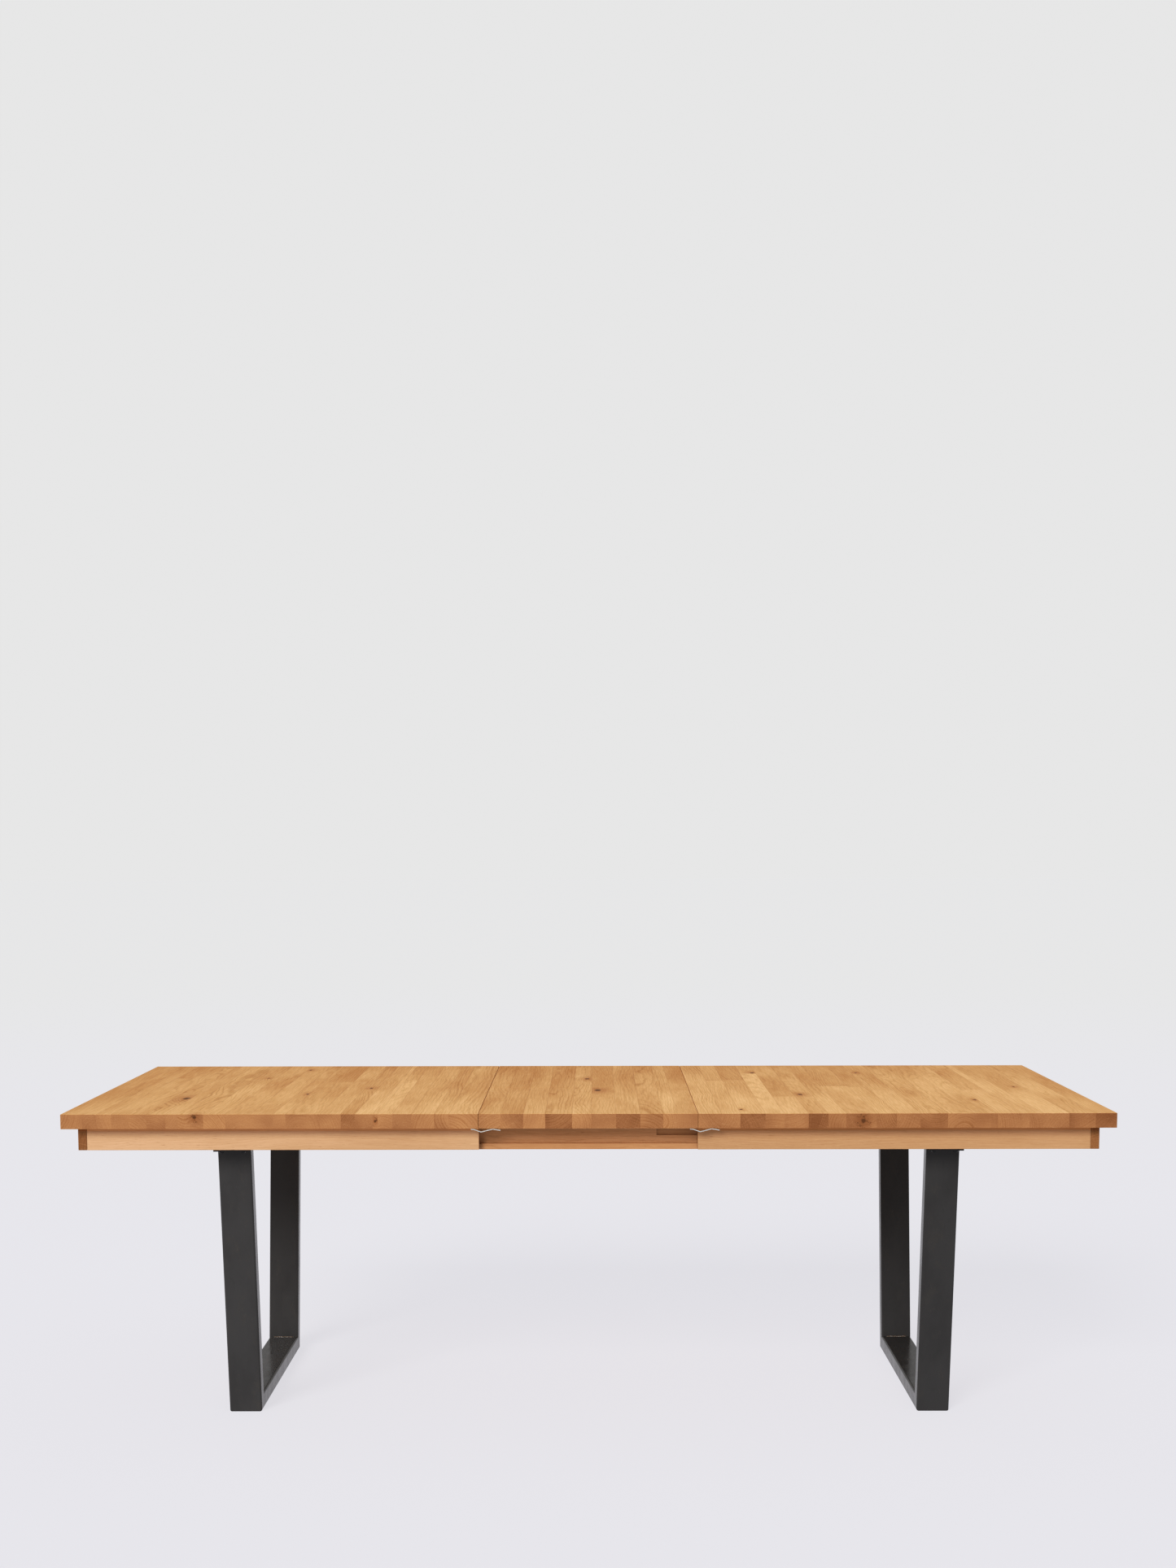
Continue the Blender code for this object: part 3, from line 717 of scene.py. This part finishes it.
def make_leg_frame(side_name, steel, weld, screw_metal, rng):
    shape = LegShape(side_name)
    mitres = {end_name: shape.mitre(y_side) for end_name, y_side in ENDS.items()}
    foot = tube_between(f"foot_bar_tube_{side_name}", shape, Vector((shape.middle_x, 0, 0)),
                        ACROSS_TABLE, UPWARDS, (mitres["front"], mitres["rear"]), steel["Y"])
    place_piece(foot, "underframe", "black_steel", f"foot_bar_{side_name}")
    head_plane = (UPWARDS * shape.head_height, UPWARDS)
    for end_name, y_side in ENDS.items():
        name = f"{side_name}_{end_name}"
        direction = Vector((0, y_side * math.sin(shape.lean), math.cos(shape.lean)))
        inward = Vector((0, -y_side * math.cos(shape.lean), math.sin(shape.lean)))
        start = Vector((shape.middle_x, y_side * shape.foot_half, 0))
        upright = tube_between(f"upright_tube_{name}", shape, start, direction, inward,
                               (mitres[end_name], head_plane), steel["Z"])
        place_piece(upright, "underframe", "black_steel", f"upright_{name}")
        make_frame_welds(name, shape, y_side, weld, rng)
        for number in (1, 2):
            make_screw(f"plate_screw_{name}_{number}", screw_metal, "underframe", "black_steel")
    make_plate(side_name, steel["Y"])


def make_frame_welds(name, shape, y_side, weld, rng):
    """A bead in the foot's inner corner, and one along each side of the upright's head."""
    reach = shape.width / 2 - TUBE_RADIUS
    left = shape.middle_x - reach
    right = shape.middle_x + reach
    sink = WELD_RADIUS * WELD_SINK
    foot_y = y_side * (shape.mitre_in + sink)
    foot_z = shape.depth - sink
    foot_bead = weld_bead(f"weld_foot_{name}", (left, foot_y, foot_z), (right, foot_y, foot_z),
                          WELD_RADIUS, weld, rng)
    place_piece(foot_bead, "underframe", "black_steel")
    head_inner = shape.head_half - shape.depth / math.cos(shape.lean)
    head_z = shape.head_height - sink
    for place, y in (("inner", head_inner + sink), ("outer", shape.head_half - sink)):
        bead = weld_bead(f"weld_head_{place}_{name}", (left, y_side * y, head_z),
                         (right, y_side * y, head_z), WELD_RADIUS * HEAD_WELD, weld, rng)
        place_piece(bead, "underframe", "black_steel")


def make_plate(side_name, steel):
    """The flat plate across a frame's head, with its edges broken."""
    node = f"leg_plate_{side_name}"
    low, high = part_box(node)
    bm = bevelled_box(low, high, PLATE_BEVEL, 2)
    plate = new_piece(f"head_plate_{side_name}", bm, steel, smooth_angle=40)
    place_piece(plate, "underframe", "black_steel", node)


# ---------------------------------------------------------------- small metal pieces

ROUND_POINTS = 36


def polygon_reach(corners, angle):
    """How far a polygon's side lies from its centre at an angle, for a corner reach of 1."""
    if corners == 0:
        return 1.0
    part = 2 * math.pi / corners
    return math.cos(part / 2) / math.cos(angle % part - part / 2)


def turned_loops(profile, centre, direction):
    """Loops about an axis from (radius, distance along the axis, polygon corners) points."""
    direction = Vector(direction)
    side = direction.orthogonal().normalized()
    up = direction.cross(side)
    loops = []
    for radius, along, corners in profile:
        loop = []
        for index in range(ROUND_POINTS):
            angle = 2 * math.pi * index / ROUND_POINTS
            reach = radius * polygon_reach(corners, angle)
            loop.append(Vector(centre) + direction * along
                        + (side * math.cos(angle) + up * math.sin(angle)) * reach)
        loops.append(loop)
    return loops


# Screw head outline: share of the radius, share of the height, corners of the polygon or 0 if round
SCREW_OUTLINE = ((0.97, 0.0, 0), (1.0, 0.08, 0), (1.0, 0.40, 0), (0.94, 0.66, 0), (0.80, 0.88, 0),
                 (0.62, 1.0, 0), (0.50, 1.0, 0), (0.46, 0.97, 6), (0.44, 0.35, 6), (0.10, 0.25, 0))


def make_screw(node, metal, body, slot):
    """A pan head that hangs down, with a hexagon socket."""
    low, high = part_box(node)
    radius = (high.x - low.x) / 2
    height = high.z - low.z
    centre = ((low.x + high.x) / 2, (low.y + high.y) / 2, high.z)
    profile = [(radius * share, height * deep, corners)
               for share, deep, corners in SCREW_OUTLINE]
    piece = new_piece(node.replace("_screw_", "_screw_head_"),
                      loft(turned_loops(profile, centre, (0, 0, -1))), metal, smooth_angle=35)
    return place_piece(piece, body, slot, node)


def smooth_path(points, steps):
    """A Catmull-Rom curve through points in a plane."""
    ends = [points[0], *points, points[-1]]
    path = []
    for p0, p1, p2, p3 in zip(ends, ends[1:], ends[2:], ends[3:]):
        for step in range(steps):
            t = step / steps
            path.append(tuple(
                0.5 * (2 * b + (c - a) * t + (2 * a - 5 * b + 4 * c - d) * t * t
                       + (3 * b - a - 3 * c + d) * t ** 3)
                for a, b, c, d in zip(p0, p1, p2, p3)))
    path.append(points[-1])
    return path


# Clip outline from its left end, as shares of its length and of its depth
CLIP_OUTLINE = ((0.0, 0.05), (0.12, 0.18), (0.31, 0.93), (0.38, 0.97), (0.70, 0.06),
                (0.76, 0.02), (1.0, 0.45))
CLIP_THICKNESS = 0.0013
CLIP_LIP = 0.0012
CLIP_ROUNDING = 0.6


def make_clip(side_name, end_name, metal):
    """A bent strip of spring steel under the long edge, with a lip on its outer side."""
    node = f"clip_{side_name}_{end_name}"
    low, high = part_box(node)
    length = high.x - low.x
    half = CLIP_THICKNESS / 2
    drop = high.z - low.z - CLIP_THICKNESS - CLIP_LIP
    outline = [(low.x + share * length, high.z - half - depth * drop)
               for share, depth in CLIP_OUTLINE]
    path = smooth_path(outline, 8)
    loops = []
    width = (high.y - low.y) / 2
    middle_y = (low.y + high.y) / 2
    edge = half * CLIP_ROUNDING
    lip_end = -half - CLIP_LIP
    corners = ((width, half - edge), (width - edge, half), (edge - width, half),
               (-width, half - edge), (-width, edge + lip_end), (edge - width, lip_end),
               (half * 2 - width, lip_end), (half * 2.4 - width, -half), (width - edge, -half),
               (width, edge - half))
    if end_name == "rear":
        corners = tuple((-wide, thick) for wide, thick in reversed(corners))
    for index, (x, z) in enumerate(path):
        before = path[max(index - 1, 0)]
        after = path[min(index + 1, len(path) - 1)]
        tangent = Vector((after[0] - before[0], 0, after[1] - before[1])).normalized()
        normal = Vector((-tangent.z, 0, tangent.x))
        loops.append([Vector((x, middle_y + wide, z)) + normal * thick
                      for wide, thick in corners])
    piece = new_piece(f"spring_{side_name}_{end_name}", loft(loops), metal, smooth_angle=35)
    return place_piece(piece, f"{side_name}_top", "spring_steel", node)


# ---------------------------------------------------------------- rails

SLIDE_GAP = 0.0005
RAIL_BEVEL = 0.0007
POCKET_BEVEL = 0.0008
POCKET_START = 0.157
POCKET_LENGTH = 0.150
POCKET_HEIGHT = 0.016
POCKET_DEPTH = 0.003
POCKET_TONE = -0.9
POCKET_MARGIN = 0.0002
LEDGE_TONE = -0.65


def darken_rail(piece, y_side, ledge, groove_floor):
    """The ledge and the inside of the pocket are darker than the rest of the rail."""
    tones = piece.data.attributes["tone"].data
    for polygon in piece.data.polygons:
        in_pocket = POCKET_START <= polygon.center.x <= POCKET_START + POCKET_LENGTH
        if polygon.center.z < ledge:
            tones[polygon.index].vector = (LEDGE_TONE, LEDGE_TONE, 0.0)
        elif in_pocket and y_side * polygon.center.y < groove_floor - POCKET_MARGIN:
            tones[polygon.index].vector = (POCKET_TONE, POCKET_TONE, 0.0)


def make_rail(end_name, material, rng):
    """A fixed long rail with a groove in its outer face for the runners. The front rail has a
    shallow pocket in the groove."""
    node = f"rail_{end_name}"
    y_side = ENDS[end_name]
    low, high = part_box(node)
    runner_low, runner_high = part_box(f"runner_left_{end_name}")
    outer = max(abs(low.y), abs(high.y))
    inner = min(abs(low.y), abs(high.y))
    groove_floor = min(abs(runner_low.y), abs(runner_high.y)) - SLIDE_GAP
    ledge = runner_low.z - SLIDE_GAP
    groove_top = runner_high.z + SLIDE_GAP
    outline = ((outer, low.z), (outer, ledge), (groove_floor, ledge), (groove_floor, groove_top),
               (outer, groove_top), (outer, high.z), (inner, high.z), (inner, low.z))
    loops = [[Vector((x, y_side * y, z)) for y, z in outline] for x in (low.x, high.x)]
    bm = loft(loops)
    bmesh.ops.bevel(bm, geom=list(bm.edges), offset=RAIL_BEVEL, segments=2, profile=0.5,
                    affect="EDGES", clamp_overlap=True)
    piece = new_piece(f"rail_board_{end_name}", bm, material)
    if end_name == "front":
        y_low = -groove_floor
        bm = bevelled_box((POCKET_START, y_low - SLIDE_GAP, groove_top - POCKET_HEIGHT),
                          (POCKET_START + POCKET_LENGTH, y_low + POCKET_DEPTH, groove_top),
                          POCKET_BEVEL, 2)
        cut_away(piece, new_piece("pocket", bm, material))
    write_facts(piece, [Stave(low, high, "X", rng, heart=BOARD_HEART)])
    darken_rail(piece, y_side, ledge, groove_floor)
    return place_piece(piece, "underframe", "oak_rail", node)


# ---------------------------------------------------------------- hinges and pivots

PIN_RADIUS = 0.004
PIN_CHAMFER = 0.0008
PIN_CHAMFER_LENGTH = 0.001
FLANGE_THICKNESS = 0.003
FLANGE_EDGE = 0.0004
FLANGE_ROUNDING = 0.95


def make_pin(side_name, metal):
    """The turned pivot pin with its flange against the cross rail."""
    node = f"pivot_pin_{side_name}"
    low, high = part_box(node)
    side = SIDES[side_name]
    length = high.x - low.x
    flange = (high.z - low.z) / 2
    start = high.x if side > 0 else low.x
    centre = (start, (low.y + high.y) / 2, (low.z + high.z) / 2)
    profile = [(flange * FLANGE_ROUNDING, 0.0, 0), (flange, FLANGE_EDGE, 0),
               (flange, FLANGE_THICKNESS - FLANGE_EDGE, 0),
               (flange * FLANGE_ROUNDING, FLANGE_THICKNESS, 0), (PIN_RADIUS, FLANGE_THICKNESS, 0),
               (PIN_RADIUS, length - PIN_CHAMFER_LENGTH, 0),
               (PIN_RADIUS - PIN_CHAMFER, length, 0)]
    piece = new_piece(f"turned_pin_{side_name}", loft(turned_loops(profile, centre, (-side, 0, 0))),
                      metal, smooth_angle=35)
    return place_piece(piece, "underframe", "zinc_steel", node)


def keep_cad_node(node, material):
    """The node's own mesh stays, with a finer material."""
    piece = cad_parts[node]
    piece.data.materials.clear()
    piece.data.materials.append(material)


# ---------------------------------------------------------------- studio

def make_camera():
    """The camera's own axes follow from pitch, yaw and roll."""
    forward = Vector((math.sin(CAMERA_YAW) * math.cos(CAMERA_PITCH),
                      math.cos(CAMERA_YAW) * math.cos(CAMERA_PITCH), math.sin(CAMERA_PITCH)))
    right = Vector((math.cos(CAMERA_YAW), -math.sin(CAMERA_YAW), 0))
    rolled = Matrix.Rotation(CAMERA_ROLL, 3, -forward) @ right
    up = rolled.cross(forward)
    camera = bpy.data.cameras.new("camera")
    camera.sensor_fit = "AUTO"
    camera.sensor_width = CAMERA_SENSOR
    camera.lens = CAMERA_LENS
    camera.shift_y = CAMERA_SHIFT_Y
    camera_object = bpy.data.objects.new("camera", camera)
    axes = Matrix((rolled, up, -forward)).transposed().to_4x4()
    camera_object.matrix_world = Matrix.Translation(CAMERA_PLACE) @ axes
    bpy.context.scene.collection.objects.link(camera_object)
    bpy.context.scene.camera = camera_object


def make_contrast(scene):
    """A mild print contrast over the plain view transform."""
    scene.view_settings.view_transform = "Standard"
    scene.view_settings.use_curve_mapping = True
    curve = scene.view_settings.curve_mapping.curves[3]
    for level, shown in CONTRAST_CURVE:
        curve.points.new(level, shown)
    scene.view_settings.curve_mapping.update()


def make_lights(scene):
    """An even white surround, and one wide soft lamp from the front left."""
    world = bpy.data.worlds.new("studio")
    world.use_nodes = True
    world.node_tree.nodes["Background"].inputs["Color"].default_value = rgb(1.0, 1.0, 1.0)
    world.node_tree.nodes["Background"].inputs["Strength"].default_value = AMBIENT
    scene.world = world
    sun = bpy.data.lights.new("window", "SUN")
    sun.energy = SUN_STRENGTH
    sun.angle = math.radians(SUN_ANGLE)
    sun_object = bpy.data.objects.new("window", sun)
    sun_object.rotation_euler = (math.radians(90 - SUN_ELEVATION), 0, math.radians(-SUN_FROM_LEFT))
    scene.collection.objects.link(sun_object)


def make_stage():
    """A wide floor, and a backdrop that only the camera sees."""
    bm = bmesh.new()
    bmesh.ops.create_grid(bm, x_segments=1, y_segments=1, size=FLOOR_SIZE)
    floor = new_piece("floor", bm, glowing("floor", FLOOR_COLOUR, FLOOR_GLOW_NEAR, FLOOR_GLOW_FAR))
    bm = bmesh.new()
    bmesh.ops.create_uvsphere(bm, u_segments=64, v_segments=32, radius=BACKDROP_RADIUS)
    backdrop = new_piece("backdrop", bm, glowing("backdrop", (0, 0, 0), BACKGROUND, BACKGROUND))
    backdrop.visible_diffuse = False
    backdrop.visible_glossy = False
    backdrop.visible_shadow = False
    backdrop.visible_transmission = False


def glowing(name, colour, near, far):
    """A matt stage surface that is partly lit from within, like a light table."""
    s = Shading(name)
    distance = s.vector("LENGTH", s.node("TexCoord").outputs["Object"])
    glow = s.mix(s.fit(distance, *GLOW_CHANGE), rgb(*near), rgb(*far))
    s.put(s.shader.inputs["Emission Color"], glow)
    s.shader.inputs["Emission Strength"].default_value = 1.0
    return s.finish(rgb(*colour), 1.0, specular=0.0)


# ---------------------------------------------------------------- the table

TOP_FACE = ((0.57, 0.280, 0.100), (0.86, 0.527, 0.255))
TOP_END = ((0.27, 0.122, 0.052), (0.57, 0.320, 0.155))
APRON_FACE = ((0.44, 0.255, 0.135), (0.66, 0.425, 0.265))
APRON_END = ((0.15, 0.060, 0.022), (0.46, 0.235, 0.100))
RAIL_FACE = ((0.39, 0.198, 0.090), (0.565, 0.320, 0.167))

# Painted light fall-off: the light is even along the table, so these tones, from -1 to 1, and the
# steel's shade paint the right side darker, for light that falls off from left to right. The aprons'
# tones hold some of the wood's own tone too.
APRON_TONE_AND_FALLOFF = {"left": -0.2, "right": -0.9}
APRON_END_TONE_AND_FALLOFF = {"left": 0.2, "right": -0.6}
HIDDEN_BOARD_TONE = -0.1
GLUE_BLOCK_TONE = 0.1
STEEL_PAINTED_FALLOFF = {"left": 1.0, "right": 0.82}
# Depth of the strip of painted shade under the top
PAINTED_SHADE_DEPTH = 0.012


def make_tops(material):
    for name, widths, joints in (("left", LEFT_STAVES, LEFT_JOINTS),
                                 ("right", RIGHT_STAVES, RIGHT_JOINTS)):
        low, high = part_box(f"panel_{name}")
        staves = read_staves(low, high, widths, joints, random.Random(PANEL_SEEDS[name]))
        make_panel(f"top_panel_{name}", f"panel_{name}", f"{name}_top", staves, material)
    for end_name in ENDS:
        low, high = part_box(f"leaf_{end_name}")
        staves = read_staves(low, high, LEAF_STAVES, (), random.Random(PANEL_SEEDS["leaf"]))
        make_panel(f"leaf_panel_{end_name}", f"leaf_{end_name}", f"{end_name}_leaf", staves,
                   material)


def make_aprons(wood, rng):
    for side_name in SIDES:
        body = f"{side_name}_top"
        tone = APRON_TONE_AND_FALLOFF[side_name]
        make_board(f"end_apron_{side_name}", f"apron_{side_name}_end", body, "Y", wood["Y"],
                   "oak_apron", rng, tone, APRON_END_TONE_AND_FALLOFF[side_name])
        for end_name in ENDS:
            place = f"{side_name}_{end_name}"
            make_board(f"long_apron_{place}", f"apron_{place}", body, "X", wood["X"],
                       "oak_apron", rng, tone)
            make_board(f"slide_runner_{place}", f"runner_{place}", body, "X", wood["X"],
                       "oak_apron", rng, HIDDEN_BOARD_TONE, bevel=HIDDEN_BOARD_BEVEL)
            make_board(f"glue_block_{place}", f"corner_block_{place}", body, "Z", wood["Z"],
                       "oak_apron", rng, GLUE_BLOCK_TONE, bevel=HIDDEN_BOARD_BEVEL)


def apron_wood():
    """The aprons' oak for each direction of the grain, with painted shade under the top along X and Y.
    """
    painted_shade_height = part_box("panel_left")[0].z - PAINTED_SHADE_DEPTH
    return {
        "X": oak("oak_along_x", "X", APRON_FACE, APRON_END, contrast=0.6, painted_shade_height=painted_shade_height),
        "Y": oak("oak_along_y", "Y", APRON_FACE, APRON_END, contrast=1.1, painted_shade_height=painted_shade_height),
        "Z": oak("oak_along_z", "Z", APRON_FACE, APRON_END),
    }


def make_table():
    rng = random.Random(BOARD_SEED)
    wood = apron_wood()
    rail = oak("oak_rail", "X", RAIL_FACE, APRON_END, contrast=0.9)
    spring = bright_steel("spring_steel", *SPRING_STEEL)
    weld = bright_steel("weld", *WELD_STEEL)
    black_zinc = bright_steel("black_zinc", *BLACK_ZINC)
    zinc = bright_steel("zinc_steel", *BRIGHT_ZINC)
    make_tops(oak("oak_top", "Y", TOP_FACE, TOP_END, glued=True))
    make_aprons(wood, rng)
    for end_name in ENDS:
        make_rail(end_name, rail, rng)
    for side_name in SIDES:
        # The right frame's steel gets a painted shade for the fall of light
        steel = {axis: blackened_steel(f"black_steel_{side_name}_{axis}", STEEL_PAINTED_FALLOFF[side_name], axis)
                 for axis in ROLLED_ALONG}
        make_leg_frame(side_name, steel, weld, black_zinc, rng)
        make_pin(side_name, zinc)
        make_screw(f"arm_screw_{side_name}", zinc, "rear_leaf", "zinc_steel")
        keep_cad_node(f"pivot_arm_{side_name}", zinc)
        for place in ("inner", "outer"):
            make_board(f"cross_board_{side_name}_{place}", f"cross_rail_{side_name}_{place}",
                       "underframe", "Y", wood["Y"], "oak_rail", rng, HIDDEN_BOARD_TONE,
                       bevel=HIDDEN_BOARD_BEVEL)
        for end_name in ENDS:
            make_clip(side_name, end_name, spring)
            keep_cad_node(f"hinge_barrel_{end_name}_{side_name}", zinc)


make_camera()
make_contrast(bpy.context.scene)
make_lights(bpy.context.scene)
make_stage()
make_table()
